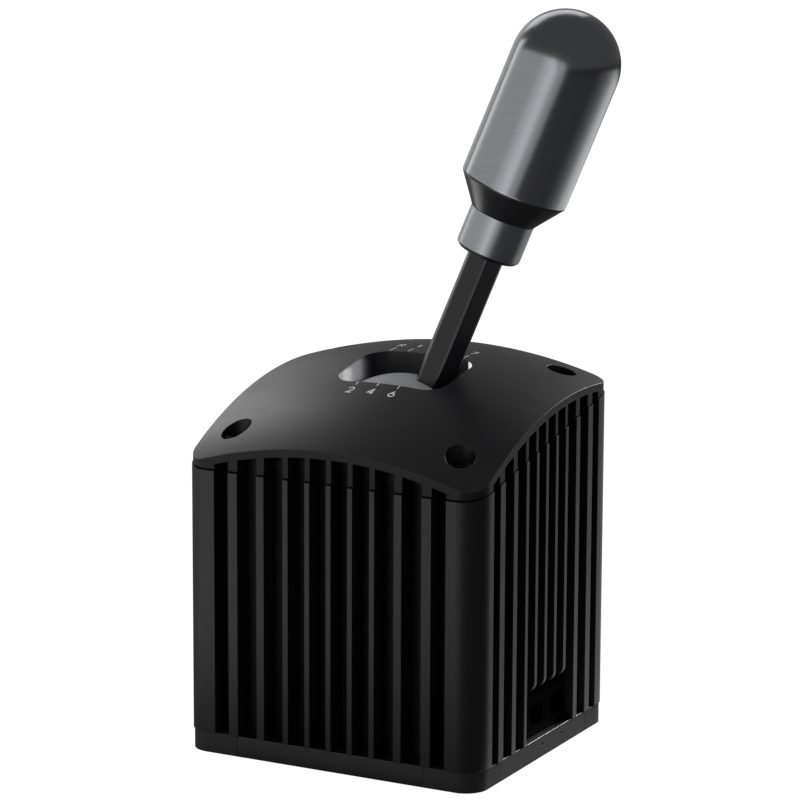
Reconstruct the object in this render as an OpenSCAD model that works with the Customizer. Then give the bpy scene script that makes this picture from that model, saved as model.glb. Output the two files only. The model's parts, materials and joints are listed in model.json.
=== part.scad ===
// Sim racing gear shifter: finned base, domed cover, H-gate lever and capsule knob.
// Millimetres, +Z up. The origin is the middle of the base on the floor, and the driver sits at -Y.
// Three frames are used: the body frame, the gate frame (at the pivot, leaned back) and the lever
// frame (the gate frame leaned to the lane that the lever rests in).

/* [Body] */
// Width of the finned body, left to right
body_w = 120; // [112:1:140]
// Depth of the finned body, front to back
body_d = 110; // [102:1:130]
// Radius of the upright corners
corner_r = 9; // [5:0.5:12]
// Height of the base strip under the fins
base_h = 7.7; // [6.5:0.1:10]
// Height of the sloped split between body and cover, at mid depth
split_z = 116.8; // [114:0.1:119]
// Slope of the split, rising to the back
split_tilt = 11; // [8:0.5:13]
// Depth of the gaps between the body's fins
fin_depth = 9; // [6:0.5:9.5]
// Wall left behind the gaps
wall_t = 2.5; // [2:0.1:3]
// How far the cover and base stand in from the body's faces
inset = 0.4; // [0.3:0.1:1.2]

/* [Cover] */
// Height of the crown of the domed top
crown_z = 140.8; // [140:0.1:144]
// Where the crown lies, behind the middle
crown_y = 30; // [24:1:36]
// Radius of the dome across the width
dome_rx = 195; // [170:1:230]
// Radius of the dome along the depth
dome_ry = 170; // [150:1:200]
// Thickness of the domed skin
cover_t = 3; // [2:0.1:4]
// Depth of the gaps between the cover's fins
cover_gap_depth = 7; // [4:0.5:7]
// Height of the plain band over the gaps
rim_band = 2.6; // [1.5:0.1:4]
// Shadow line between the cover's fins and the body
shadow_gap = 0.5; // [0.2:0.1:1]
// Width of the lever slot
slot_w = 44.1; // [44:0.1:46]
// Depth of the lever slot
slot_d = 33; // [32.4:0.1:35]
// Middle of the lever slot, behind the middle of the body
slot_y = 3.7; // [3.4:0.1:4.2]
// Corner radius of the lever slot
slot_r = 8; // [5:0.5:8]
// Wall of the chute around the slot
chute_t = 2.5; // [2:0.1:4]

/* [Fasteners] */
// Cover and base screws, inwards from the side faces
screw_in_x = 14.5; // [13.5:0.1:15]
// Cover and base screws, inwards from the front and back faces
screw_in_y = 14; // [13.5:0.1:14.5]
// Radius of the wells for the cover screws
well_r = 5.5; // [5:0.1:5.8]
// Radius of the main screws' shanks
screw_r = 2.1; // [1.9:0.05:2.4]
// Spacing of the four mounting threads across the base
mount_x = 50; // [40:1:54]
// Spacing of the four mounting threads along the base
mount_y = 40; // [30:1:44]
// Core radius of the mounting threads
mount_r = 2.5; // [2:0.05:3.4]

/* [Lever] */
// Height of the pivot
pivot_z = 102.85; // [102.5:0.05:103.1]
// Lean of the neutral lever, to the back
lean_back = 7.4; // [7:0.1:8]
// Lean of the lever to the outer lane on the right
lane_lean = 20.36; // [18:0.01:20.4]
// Shift travel each way from neutral
throw = 9; // [7:0.1:9.2]
// Hexagonal rod, across flats
rod_af = 12.85; // [12:0.05:13.1]
// Outer radius of the ball-shaped dust shield
shield_r = 33.4; // [32.6:0.1:33.6]
// Thickness of the dust shield
shield_t = 2.2; // [1.6:0.1:2.4]
// Half angle that the dust shield covers
shield_angle = 61; // [56:0.5:61]
// Radius of the gate pin
gate_pin_r = 2.25; // [2:0.05:2.4]
// Depth of the gate plate's top face under the pivot
gate_drop = 44; // [43:0.5:45]
// Thickness of the gate plate
gate_t = 3; // [2.5:0.1:3.5]

/* [Knob] */
// Bottom of the collar, along the lever from the pivot
collar_z0 = 85.2; // [80:0.1:88]
// Length of the collar
collar_l = 15.6; // [13:0.1:18]
// Radius of the collar
collar_r = 12.1; // [10.5:0.1:13]
// Length of the black taper
taper_l = 10.8; // [8:0.1:14]
// Radius of the knob
knob_r = 20; // [17:0.1:23]
// Length of the knob from the taper to its tip
knob_l = 68.3; // [64:0.1:80]

/* [Fits] */
// Radial clearance of running shafts
run_c = 0.05; // [0.02:0.01:0.1]
// Radial clearance of pressed or threaded pieces
press_c = 0.02; // [0.01:0.01:0.05]
// Clearance of moving pieces that must not touch
free_c = 0.4; // [0.3:0.05:0.6]
// Seam between fixed pieces that are set side by side
seam_c = 0.15; // [0.1:0.05:0.3]

/* [Hidden] */
$fn = 96;
half_w = body_w / 2;
half_d = body_d / 2;
// fins on one half of a face: place as a share of the half face, and width
fin_f = [0, 0.145, 0.293, 0.466, 0.655];
fin_w = [2.0, 2.0, 2.1, 3.1, 3.8];
fin_n = len(fin_f);
corner_f = 0.783;
// the dome's cutter runs past the body, and the chute starts above the pivot
dome_over = 10;
chute_low = 24.7;
cav_w = half_w - fin_depth - wall_t;
cav_d = half_d - fin_depth - wall_t;
screw_x = half_w - screw_in_x;
screw_y = half_d - screw_in_y;
boss_r = 6.5;
tall = 170;
big = 400;
eps = 0.5;
far = 60;

// cover screws
seat_t = 3;
screw_head_r = 4.25;
screw_head_h = 4.6;
cover_screw_l = 20;
main_key_r = 2.3;
shank_c = 0.6;
shank_hole_r = screw_r + shank_c;
head_c = 0.4;

// small screws
small_r = 1.25;
small_hole_r = 1.6;
small_head_r = 2.75;
small_head_h = 2;
small_key_r = 1.4;
tiny_r = 1;
tiny_hole_r = 1.3;
tiny_head_r = 2.1;
tiny_head_h = 2;
tiny_key_r = 1;
tiny_l = 8;
tiny_sink = 2.2;
tiny_bore = 6.5;
grub_r = 1.5;
grub_key_r = 0.8;
grub_key_deep = 1.6;

// base and feet
foot_in = 22;
foot_in_y = 20;
tongue_in = 4;
tongue_z = 4.2;
foot_head_r = 4.4;
foot_head_h = 2.4;
foot_recess = 3;
base_screw_l = 22;
stud_hole = 3;
pip_r = 0.6;
pip_z = base_h * 0.6;
pip_deep = 0.4;

// frame
plate_gap = 2.3;
plate_t = 5;
plate_out = cav_w - plate_gap;
plate_in = plate_out - plate_t;
leg_gap = 1.5;
leg_w = 7;
plate_leg = screw_y - boss_r - leg_gap;
plate_arch = plate_leg - leg_w;
plate_top_w = 13;
plate_over = 10;
plate_top_z = pivot_z + plate_over;
arch_z = 30;
hip_z = 42;
leg_y = (plate_leg + plate_arch) / 2;
leg_x = (plate_in + plate_out) / 2;
leg_screw_l = 18;
leg_recess = 3;
leg_hole_r = 1.6;
leg_head_c = 0.25;
tie_y = 19;
tie_z = 70;
tie_r = 4;
tie_screw_r = 2;
tie_head_r = 3.6;
tie_head_h = 1.6;
tie_key_r = 1.6;
tie_bite = 10;
tie_bore = 12;

// trunnions and cradle
trunnion_r = 4;
bush_r = 7;
bush_flange_r = 9.5;
bush_flange_t = 1.5;
shoulder_r = 7;
shoulder_t = 2;
arm_in = 19;
arm_out = 28;
ring_y = 24;
ring_in_y = 15.2;
ring_top = 5;
ring_bottom = -8;
pin_set = 0.5;
pin_end = 0.2;

// lane pin and hub
lane_pin_r = 4;
lane_pin_out = 2;
lane_pin_half = ring_y + lane_pin_out;
washer_r = 7.5;
clip_t = 1;
clip_c = 0.05;
clip_mouth = 3.2;
clip_r = 6.5;
clip_groove_r = 3.2;
hub_r = 11;
hub_front = -14;
hub_back = 9;
hub_top = 24;
tail_r = 6.5;
tail_end = -24;
hub_bush_r = 5.5;
hub_bush_l = 11;
socket_z = 13;
rod_r = rod_af / sqrt(3);
rod_short = 4.5;
rod_top = collar_z0 + collar_l - rod_short;
knob_z0 = collar_z0 + collar_l + taper_l;
stud_r = 5;
stud_l = 26;
stud_top = knob_z0 + stud_l;
insert_r = 8;
insert_over = 2;
rod_pin_r = 1.5;
rod_pin_z = 18.5;
rod_pin_set = 0.6;
shield_grub_z = 27;
shield_grub_l = 4;
collar_grub_z = 5;
collar_grub_l = 4.6;

// lane detent
lanes = 5;
lane_pitch = 2 * lane_lean / (lanes - 1);
plate_y0 = 9;
plate_y1 = 14;
lane_sector_r = 17;
lane_notch_r = 2;
lane_notch_at = 18;
lane_tip_r = 1.6;
lane_plate_over = 8;
lane_plate_half = lane_lean + lane_plate_over;
lane_body_r = 4;
tip_c = 0.35;
lane_plunger_y = (plate_y0 + plate_y1) / 2;
lane_pin_shaft_r = 2;
lane_pin_shaft_l = 3;
lane_tip_x = -(lane_sector_r + tip_c);
lane_body_out = 2;
lane_body_x0 = -arm_out - lane_body_out;
lane_body_x1 = -arm_in - pin_set;
lane_body_end = 2;
lane_spring_l = 5;
lane_spring_x0 = lane_body_x0 + lane_body_end;
lane_spring_x1 = lane_spring_x0 + lane_spring_l;
lane_coil_r = 1.55;
lane_wire_r = 0.3;
lane_turns = 4;
lane_screw_at = 8.2;

// shift detent
sector_x0 = arm_out;
sector_t = 4.5;
sector_x = sector_x0 + sector_t / 2;
sector_r = 26;
sector_half = 20;
sector_notch_r = 2.1;
sector_notch_at = 27;
sector_tip_r = 1.8;
sector_screw_y = 11;
sector_screw_z = -4;
sector_bite = 5;
sector_web_top = 1;
sector_web_low = -14;
sector_tip_z = -(sector_r + tip_c);
barrel_r = 4;
barrel_top = -30;
barrel_under = 7.5;
barrel_bottom = -(gate_drop + barrel_under);
barrel_bore_r = 3;
barrel_seat = 4.5;
barrel_floor = -(gate_drop + barrel_seat);
shift_pin_r = barrel_bore_r - run_c;
shift_pin_l = 8;
shift_spring_top = -40;
shift_coil_r = 2.3;
shift_wire_r = 0.4;
shift_turns = 5;
nut_af = 13;
nut_t = 4;

// gate
gate_low = gate_drop + gate_t;
gate_mid = gate_drop + gate_t / 2;
gate_half_y = 18;
tab_y = 10;
tab_w = 8;
gate_pin_top = -10.5;
gate_pin_end = -66;
lane_half_len = gate_low * tan(throw) + gate_pin_r / cos(throw) + free_c;
channel_half = gate_pin_r + free_c;

// magnet cup
cup_r = 4.5;
cup_top = -60;
cup_bottom = -73;
magnet_r = 3;
magnet_top = -68;
magnet_set = 0.3;

// board and sockets
board_z = 22.2;
board_t = 1.6;
board_gap = 4.7;
board_half_x = plate_in - board_gap;
board_half_y = 31;
standoff_in = 4.3;
standoff_x = board_half_x - standoff_in;
standoff_y = 27;
standoff_r = 3;
standoff_stud_r = 1.6;
standoff_stud_l = 2.8;
board_screw_l = 9;
hall_w = 4;
hall_d = 3;
hall_h = 1.2;
chip_w = 10;
chip_h = 1.4;
chip_x = 10;
chip_y = 13;
port_z = 15.6;
socket_w = 12.2;
socket_z0 = 9.8;
socket_in = 5.5;
socket_l = 15;
socket_x1 = half_w - socket_in;
socket_x0 = socket_x1 - socket_l;
port_w = 10.2;
port_h = 7.6;
port_deep = 11.5;
contact_n = 6;
contact_pitch = 1.27;
contact_w = 0.4;
contact_h = 0.5;
contact_back = 3;

// port window
win_y0 = -(fin_f[2] * half_d - fin_w[2] / 2);
win_y1 = fin_f[3] * half_d - fin_w[3] / 2;
win_z = 26;
win_round = 4;
flange_t = 2;
panel_front = half_w - 3;
// the panel's box fills the window, apart from a strip for its screws on the near side
panel_gap = 1.1;
panel_strip = 7;
panel_y = [win_y0 + panel_strip, win_y1 - panel_gap];
panel_z = [8.6, 23.4];
panel_wall = 1.2;
panel_screw_y = win_y0 + panel_strip / 2;
panel_screw_z = [12, 21];
panel_head_r = 2.5;
panel_head_h = 1.6;
panel_key_r = 1.2;
port_y = [panel_y[0] + panel_wall + socket_w / 2, panel_y[1] - panel_wall - socket_w / 2];
aper_over = 0.4;
aper = [panel_y[0] - aper_over, panel_y[1] + aper_over];
aper_z = board_z + board_t + aper_over;
board_tongue = [panel_y[0] - aper_over + seam_c, panel_y[1] + aper_over - seam_c];
board_tongue_x = cav_w - 1;

// colours
c_black = [0.07, 0.07, 0.075];
c_cover = [0.13, 0.13, 0.14];
c_rubber = [0.09, 0.09, 0.09];
c_steel = [0.62, 0.63, 0.65];
c_dark_steel = [0.2, 0.2, 0.21];
c_alu = [0.75, 0.76, 0.78];
c_bronze = [0.72, 0.5, 0.25];
c_brass = [0.8, 0.65, 0.3];
c_board = [0.08, 0.3, 0.16];
c_gun = [0.3, 0.31, 0.33];
c_gold = [0.85, 0.7, 0.3];

function split_at(y) = split_z + y * tan(split_tilt);
function gap_lo(i, half) = fin_f[i] * half + fin_w[i] / 2;
function gap_hi(i, half) = i < fin_n - 1 ? fin_f[i + 1] * half - fin_w[i + 1] / 2 : corner_f * half;
function lane_angle(k) = -lane_lean + k * lane_pitch;
function lane_x(a) = gate_mid * tan(a);
function lane_half(a) = gate_pin_r / cos(a) + gate_t / 2 * tan(abs(a))
  + gate_mid * tan(abs(a)) * (1 / cos(throw) - 1) + free_c;
// a point far out at an angle from straight down, for cutting sectors
function far_at(a) = [far * sin(a), -far * cos(a)];
// where the tail's end stands over the board, for a lane angle and a shift angle
function tail_xy(a, s) = [cup_bottom * sin(a), cup_bottom * cos(a) * sin(lean_back + s)];

// frames
module in_gate() {
  translate([0, 0, pivot_z]) rotate([-lean_back, 0, 0]) children();
}
module in_lever() {
  in_gate() rotate([0, lane_lean, 0]) children();
}
// draws children once for each corner, mirrored
module corners() {
  for (mx = [0, 1], my = [0, 1]) mirror([mx, 0, 0]) mirror([0, my, 0]) children();
}
// turns a cylinder so that it runs along +X, or along +Y
module along_x() {
  rotate([0, 90, 0]) children();
}
module along_y() {
  rotate([-90, 0, 0]) children();
}
// turns an extruded outline drawn in Y and Z so that it runs along +X
module outline_yz() {
  rotate([90, 0, 90]) children();
}

// shared outlines
module rounded_rect(w, d, r) {
  square([w - 2 * r, d], center = true);
  square([w, d - 2 * r], center = true);
  for (sx = [-1, 1], sy = [-1, 1])
    translate([sx * (w / 2 - r), sy * (d / 2 - r)]) circle(r);
}
module face_gaps(half, face, depth) {
  for (i = [0 : fin_n - 1], s = [0, 1])
    mirror([s, 0])
      translate([gap_lo(i, half), -face - eps])
        square([gap_hi(i, half) - gap_lo(i, half), depth + eps]);
}
module fin_gaps(in, depth) {
  for (s = [0, 1]) {
    mirror([0, s]) face_gaps(half_w, half_d - in, depth);
    mirror([s, 0]) rotate([0, 0, -90]) face_gaps(half_d, half_w - in, depth);
  }
}
module cavity_outline() {
  difference() {
    square([2 * cav_w, 2 * cav_d], center = true);
    for (sx = [-1, 1], sy = [-1, 1])
      translate([sx * screw_x, sy * screw_y]) circle(boss_r);
  }
}
module slot_outline(grow) {
  translate([0, slot_y]) rounded_rect(slot_w + 2 * grow, slot_d + 2 * grow, slot_r + grow);
}

// cutters
module split_block(lift) {
  translate([0, 0, split_z]) rotate([split_tilt, 0, 0])
    translate([-big / 2, -big / 2, lift]) cube([big, big, tall]);
}
module under_split(lift) {
  translate([0, 0, split_z]) rotate([split_tilt, 0, 0])
    translate([-big / 2, -big / 2, lift - tall]) cube([big, big, tall]);
}
// the domed solid: an arc across the width, turned about an axis along X
module dome(drop) {
  translate([0, crown_y, crown_z - dome_ry]) along_x()
    rotate_extrude($fn = 240) intersection() {
      translate([dome_ry - dome_rx, 0]) circle(r = dome_rx - drop, $fn = 240);
      translate([0, -half_w - dome_over]) square([dome_ry + dome_over, 2 * (half_w + dome_over)]);
    }
}
module hex_screw(head_r, head_h, shank_r, shank_l, key_r) {
  difference() {
    union() {
      cylinder(r = head_r, h = head_h);
      translate([0, 0, -shank_l]) cylinder(r = shank_r, h = shank_l + head_h / 2);
    }
    translate([0, 0, head_h * 0.45]) cylinder(r = key_r, h = head_h, $fn = 6);
  }
}
module grub_screw(l) {
  difference() {
    cylinder(r = grub_r, h = l);
    translate([0, 0, l - grub_key_deep]) cylinder(r = grub_key_r, h = grub_key_deep + eps, $fn = 6);
  }
}
// one unbroken round wire wound along +Z, with both ends touching the planes z = 0 and z = len
module coil(mean_r, wire_r, len, turns) {
  rings = 8 * turns;
  sides = 6;
  rise = (len - 2 * wire_r) / rings;
  pitch = rise * 8;
  slope = atan2(pitch, 2 * PI * mean_r);
  pts = [for (i = [0 : rings], j = [0 : sides - 1])
    let (a = 45 * i, b = 60 * j, u = mean_r + wire_r * cos(b), v = wire_r * sin(b))
    [u * cos(a) + v * sin(slope) * sin(a),
     u * sin(a) - v * sin(slope) * cos(a),
     wire_r + i * rise + v * cos(slope)]];
  skin = [for (i = [0 : rings - 1], j = [0 : sides - 1])
    let (k = (j + 1) % sides, a = i * sides, b = a + sides)
    each [[a + j, b + j, b + k], [a + j, b + k, a + k]]];
  cap_a = [[for (j = [0 : sides - 1]) j]];
  cap_b = [[for (j = [0 : sides - 1]) rings * sides + sides - 1 - j]];
  echo(least_self_gap = pitch * cos(slope) - 2 * wire_r);
  polyhedron(points = pts, faces = concat(skin, cap_a, cap_b), convexity = 10);
}

// body
module port_window() {
  translate([half_w - fin_depth, win_y0, base_h - eps])
    cube([fin_depth + eps, win_y1 - win_y0, win_z - base_h + eps]);
  difference() {
    translate([half_w - win_round, win_y0, win_z - eps])
      cube([win_round + eps, win_y1 - win_y0, win_round + eps]);
    translate([half_w - win_round, win_y0 - eps, win_z + win_round]) along_y()
      cylinder(r = win_round, h = win_y1 - win_y0 + 2 * eps);
  }
  translate([cav_w - eps, aper[0], base_h - eps])
    cube([wall_t + 2 * eps, aper[1] - aper[0], aper_z - base_h + eps]);
  for (z = panel_screw_z)
    translate([cav_w - eps, panel_screw_y, z]) along_x() cylinder(r = small_r, h = wall_t + 2 * eps);
}
module finned_housing() {
  color(c_black) difference() {
    translate([0, 0, base_h]) linear_extrude(height = tall - base_h) difference() {
      rounded_rect(body_w, body_d, corner_r);
      fin_gaps(0, fin_depth);
      cavity_outline();
      for (sx = [-1, 1], sy = [-1, 1])
        translate([sx * screw_x, sy * screw_y]) circle(screw_r + press_c);
    }
    split_block(0);
    port_window();
  }
}
module top_cover() {
  color(c_cover) difference() {
    intersection() {
      translate([0, 0, split_at(-half_d) - eps]) linear_extrude(height = tall - split_at(-half_d))
        rounded_rect(body_w - 2 * inset, body_d - 2 * inset, corner_r - inset);
      dome(0);
    }
    under_split(0);
    // hollow inside, leaving the screw bosses and the chute around the slot
    difference() {
      intersection() {
        translate([0, 0, base_h]) linear_extrude(height = tall) cavity_outline();
        dome(cover_t);
      }
      translate([0, 0, pivot_z + chute_low]) linear_extrude(height = tall) slot_outline(chute_t);
    }
    intersection() {
      translate([0, 0, base_h]) linear_extrude(height = tall) fin_gaps(inset, cover_gap_depth);
      dome(rim_band);
    }
    translate([0, 0, base_h]) linear_extrude(height = tall) slot_outline(0);
    translate([0, 0, pivot_z]) sphere(r = shield_r + free_c, $fn = 180);
    cover_wells();
    // shadow line: only the wall inside the fins meets the body
    difference() {
      under_split(shadow_gap);
      linear_extrude(height = tall)
        square([2 * (half_w - fin_depth), 2 * (half_d - fin_depth)], center = true);
    }
  }
}
module cover_wells() {
  // the back corners stand higher, so each pair of wells has its own seat
  for (sx = [-1, 1], sy = [-1, 1])
    translate([sx * screw_x, sy * screw_y, 0]) {
      translate([0, 0, base_h]) cylinder(r = shank_hole_r, h = tall);
      translate([0, 0, split_at(sy * screw_y) + seat_t]) cylinder(r = well_r, h = tall);
    }
}
module cover_screws() {
  color(c_dark_steel)
    for (sx = [-1, 1], sy = [-1, 1])
      translate([sx * screw_x, sy * screw_y, split_at(sy * screw_y) + seat_t])
        hex_screw(screw_head_r, screw_head_h, screw_r, cover_screw_l, main_key_r);
}

// base
module corner_block(grow) {
  translate([half_w - foot_in - grow, half_d - foot_in_y - grow, -eps])
    cube([foot_in + 5, foot_in_y + 5, base_h + 2 * eps]);
}
module tongue(grow) {
  translate([0, 0, tongue_z - grow])
    cube([half_w - inset - tongue_in + grow, half_d - inset - tongue_in + grow, base_h]);
}
module base_outline() {
  linear_extrude(height = base_h)
    rounded_rect(body_w - 2 * inset, body_d - 2 * inset, corner_r - inset);
}
module base_plate() {
  color(c_black) difference() {
    base_outline();
    corners() difference() {
      corner_block(0);
      tongue(0);
    }
    corners() {
      translate([screw_x, screw_y, 0]) cylinder(r = shank_hole_r, h = base_h + eps);
      translate([mount_x / 2, mount_y / 2, -eps]) cylinder(r = mount_r, h = base_h + 2 * eps);
      translate([leg_x, leg_y, -eps]) cylinder(r = leg_hole_r, h = base_h + 2 * eps);
      translate([leg_x, leg_y, -eps]) cylinder(r = small_head_r + leg_head_c, h = leg_recess + eps);
      translate([standoff_x, standoff_y, base_h - stud_hole])
        cylinder(r = standoff_stud_r + press_c, h = stud_hole + eps);
    }
    // two pips under the sockets
    for (y = port_y)
      translate([half_w - inset - pip_deep, y, pip_z]) along_x() cylinder(r = pip_r, h = 2 * eps);
  }
}
module corner_feet() {
  color(c_rubber) corners() difference() {
    intersection() {
      base_outline();
      corner_block(-seam_c);
    }
    tongue(press_c);
    translate([screw_x, screw_y, -eps]) cylinder(r = shank_hole_r, h = base_h);
    translate([screw_x, screw_y, -eps]) cylinder(r = foot_head_r + head_c, h = foot_recess + eps);
  }
}
module base_screws() {
  color(c_dark_steel) corners()
    translate([screw_x, screw_y, foot_recess]) mirror([0, 0, 1])
      hex_screw(foot_head_r, foot_head_h, screw_r, base_screw_l, main_key_r);
}

// frame
module plate_outline() {
  polygon([
    [-plate_leg, base_h], [-plate_arch, base_h], [-plate_arch, arch_z], [plate_arch, arch_z],
    [plate_arch, base_h], [plate_leg, base_h], [plate_leg, hip_z],
    [plate_top_w, plate_top_z], [-plate_top_w, plate_top_z], [-plate_leg, hip_z]
  ]);
}
module side_plate() {
  difference() {
    translate([plate_in, 0, 0]) outline_yz() linear_extrude(height = plate_t) plate_outline();
    translate([plate_in - eps, 0, pivot_z]) along_x() cylinder(r = bush_r + press_c, h = plate_t + 2 * eps);
    for (s = [-1, 1]) {
      translate([plate_in - eps, s * tie_y, tie_z]) along_x()
        cylinder(r = tie_screw_r + press_c, h = plate_t + 2 * eps);
      translate([leg_x, s * leg_y, base_h - eps]) cylinder(r = small_r + press_c, h = leg_screw_l + eps);
      in_gate() translate([plate_in - eps, s * tab_y - tab_w / 2 - press_c, -gate_low - press_c])
        cube([plate_t + 2 * eps, tab_w + 2 * press_c, gate_t + 2 * press_c]);
    }
  }
}
module left_side_plate() {
  color(c_alu) mirror([1, 0, 0]) side_plate();
}
module right_side_plate() {
  color(c_alu) side_plate();
}
module frame_screws() {
  color(c_dark_steel) corners()
    translate([leg_x, leg_y, leg_recess]) mirror([0, 0, 1])
      hex_screw(small_head_r, small_head_h, small_r, leg_screw_l, small_key_r);
}
module tie_bars() {
  color(c_steel) for (s = [-1, 1])
    difference() {
      translate([-plate_in, s * tie_y, tie_z]) along_x() cylinder(r = tie_r, h = 2 * plate_in);
      for (e = [0, 1])
        mirror([e, 0, 0]) translate([plate_in - tie_bore, s * tie_y, tie_z]) along_x()
          cylinder(r = tie_screw_r + press_c, h = tie_bore + eps);
    }
}
module tie_screws() {
  color(c_dark_steel) for (e = [0, 1], s = [-1, 1])
    mirror([e, 0, 0]) translate([plate_out, s * tie_y, tie_z]) along_x()
      hex_screw(tie_head_r, tie_head_h, tie_screw_r, plate_t + tie_bite, tie_key_r);
}
module trunnion_bushes() {
  color(c_bronze) for (e = [0, 1])
    mirror([e, 0, 0]) translate([0, 0, pivot_z]) difference() {
      union() {
        translate([plate_in, 0, 0]) along_x() cylinder(r = bush_r, h = plate_t);
        translate([plate_in - bush_flange_t, 0, 0]) along_x()
          cylinder(r = bush_flange_r, h = bush_flange_t);
      }
      translate([plate_in - bush_flange_t - eps, 0, 0]) along_x()
        cylinder(r = trunnion_r + run_c, h = plate_t + bush_flange_t + 2 * eps);
    }
}

// gate
module gate_outline() {
  difference() {
    union() {
      square([2 * plate_in, 2 * gate_half_y], center = true);
      for (s = [-1, 1])
        translate([0, s * tab_y]) square([2 * plate_out, tab_w], center = true);
    }
    // five lanes, joined by the neutral channel
    for (k = [0 : lanes - 1])
      translate([lane_x(lane_angle(k)), 0])
        square([2 * lane_half(lane_angle(k)), 2 * lane_half_len], center = true);
    square([2 * lane_x(lane_lean), 2 * channel_half], center = true);
    translate([sector_x, 0]) circle(barrel_r + press_c);
  }
}
module gate_plate() {
  color(c_steel) in_gate()
    translate([0, 0, -gate_low]) linear_extrude(height = gate_t) gate_outline();
}

// shift detent
module shift_plunger_body() {
  color(c_brass) in_gate() translate([sector_x, 0, 0]) difference() {
    translate([0, 0, barrel_bottom]) cylinder(r = barrel_r, h = barrel_top - barrel_bottom);
    translate([0, 0, barrel_floor]) cylinder(r = barrel_bore_r, h = barrel_top - barrel_floor + eps);
  }
}
module plunger_lock_nut() {
  color(c_steel) in_gate() translate([sector_x, 0, -gate_low - nut_t]) difference() {
    rotate([0, 0, 30]) cylinder(r = nut_af / sqrt(3), h = nut_t, $fn = 6);
    translate([0, 0, -eps]) cylinder(r = barrel_r + press_c, h = nut_t + 2 * eps);
  }
}
module shift_plunger_spring() {
  color(c_steel) in_gate() translate([sector_x, 0, barrel_floor])
    coil(shift_coil_r, shift_wire_r, shift_spring_top - barrel_floor, shift_turns);
}
module shift_plunger_pin() {
  color(c_steel) in_gate() translate([sector_x, 0, 0]) {
    translate([0, 0, shift_spring_top]) cylinder(r = shift_pin_r, h = shift_pin_l);
    translate([0, 0, shift_spring_top + shift_pin_l / 2])
      cylinder(r = sector_tip_r, h = sector_tip_z - sector_tip_r - shift_spring_top - shift_pin_l / 2);
    translate([0, 0, sector_tip_z - sector_tip_r]) sphere(r = sector_tip_r);
  }
}
module shift_detent_sector() {
  color(c_dark_steel) in_gate() translate([sector_x0, 0, 0]) difference() {
    outline_yz() linear_extrude(height = sector_t) difference() {
      union() {
        intersection() {
          circle(sector_r);
          polygon([[0, 0], far_at(-sector_half), far_at(sector_half)]);
        }
        translate([-ring_in_y, sector_web_low]) square([2 * ring_in_y, sector_web_top - sector_web_low]);
      }
      circle(trunnion_r + free_c);
      for (a = [-throw, 0, throw])
        translate([sector_notch_at * sin(a), -sector_notch_at * cos(a)]) circle(sector_notch_r);
    }
    for (s = [-1, 1])
      translate([-eps, s * sector_screw_y, sector_screw_z]) along_x()
        cylinder(r = small_hole_r, h = sector_t + 2 * eps);
  }
}
module sector_screws() {
  color(c_steel) in_gate() for (s = [-1, 1])
    translate([sector_x0 + sector_t, s * sector_screw_y, sector_screw_z]) along_x()
      hex_screw(small_head_r, small_head_h, small_r, sector_t + sector_bite, small_key_r);
}

// cradle
module shift_cradle() {
  color(c_alu) in_gate() difference() {
    translate([-arm_out, -ring_y, ring_bottom]) cube([2 * arm_out, 2 * ring_y, ring_top - ring_bottom]);
    translate([-arm_in, -ring_in_y, ring_bottom - eps])
      cube([2 * arm_in, 2 * ring_in_y, ring_top - ring_bottom + 2 * eps]);
    translate([-arm_out - eps, 0, 0]) along_x()
      cylinder(r = trunnion_r + press_c, h = 2 * arm_out + 2 * eps);
    translate([0, -ring_y - eps, 0]) along_y()
      cylinder(r = lane_pin_r + press_c, h = 2 * ring_y + 2 * eps);
    translate([-arm_out - eps, lane_plunger_y, 0]) along_x()
      cylinder(r = lane_body_r + press_c, h = arm_out - arm_in + 2 * eps);
    for (s = [-1, 1])
      translate([arm_out - sector_bite - eps, s * sector_screw_y, sector_screw_z]) along_x()
        cylinder(r = small_r + press_c, h = sector_bite + 2 * eps);
  }
}
module trunnion_pins() {
  color(c_steel) in_gate() for (e = [0, 1])
    mirror([e, 0, 0]) {
      translate([arm_in + pin_set, 0, 0]) along_x()
        cylinder(r = trunnion_r, h = plate_out - pin_end - arm_in - pin_set);
      translate([plate_in - bush_flange_t - run_c - shoulder_t, 0, 0]) along_x()
        cylinder(r = shoulder_r, h = shoulder_t);
    }
}
module lane_pin() {
  color(c_steel) in_gate() difference() {
    translate([0, -lane_pin_half, 0]) along_y() cylinder(r = lane_pin_r, h = 2 * lane_pin_half);
    for (e = [0, 1])
      mirror([0, e, 0]) translate([0, ring_y, 0]) along_y() difference() {
        cylinder(r = lane_pin_r + eps, h = clip_t + 2 * clip_c);
        translate([0, 0, -eps]) cylinder(r = clip_groove_r, h = clip_t + 2 * eps);
      }
  }
}
module lane_pin_clips() {
  color(c_dark_steel) in_gate() for (e = [0, 1])
    mirror([0, e, 0]) translate([0, ring_y + clip_c, 0]) along_y() difference() {
      cylinder(r = clip_r, h = clip_t);
      translate([0, 0, -eps]) cylinder(r = clip_groove_r + press_c, h = clip_t + 2 * eps);
      // open mouth of the clip
      translate([-clip_mouth / 2, 0, -eps]) cube([clip_mouth, clip_r + eps, clip_t + 2 * eps]);
    }
}
module lane_thrust_washers() {
  color(c_bronze) in_gate() for (y = [hub_front - run_c, plate_y1 + run_c])
    let (low = y < 0 ? -ring_in_y + press_c : y, high = y < 0 ? y : ring_in_y - press_c)
    translate([0, low, 0]) along_y() difference() {
      cylinder(r = washer_r, h = high - low);
      translate([0, 0, -eps]) cylinder(r = lane_pin_r + run_c, h = high - low + 2 * eps);
    }
}

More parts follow.
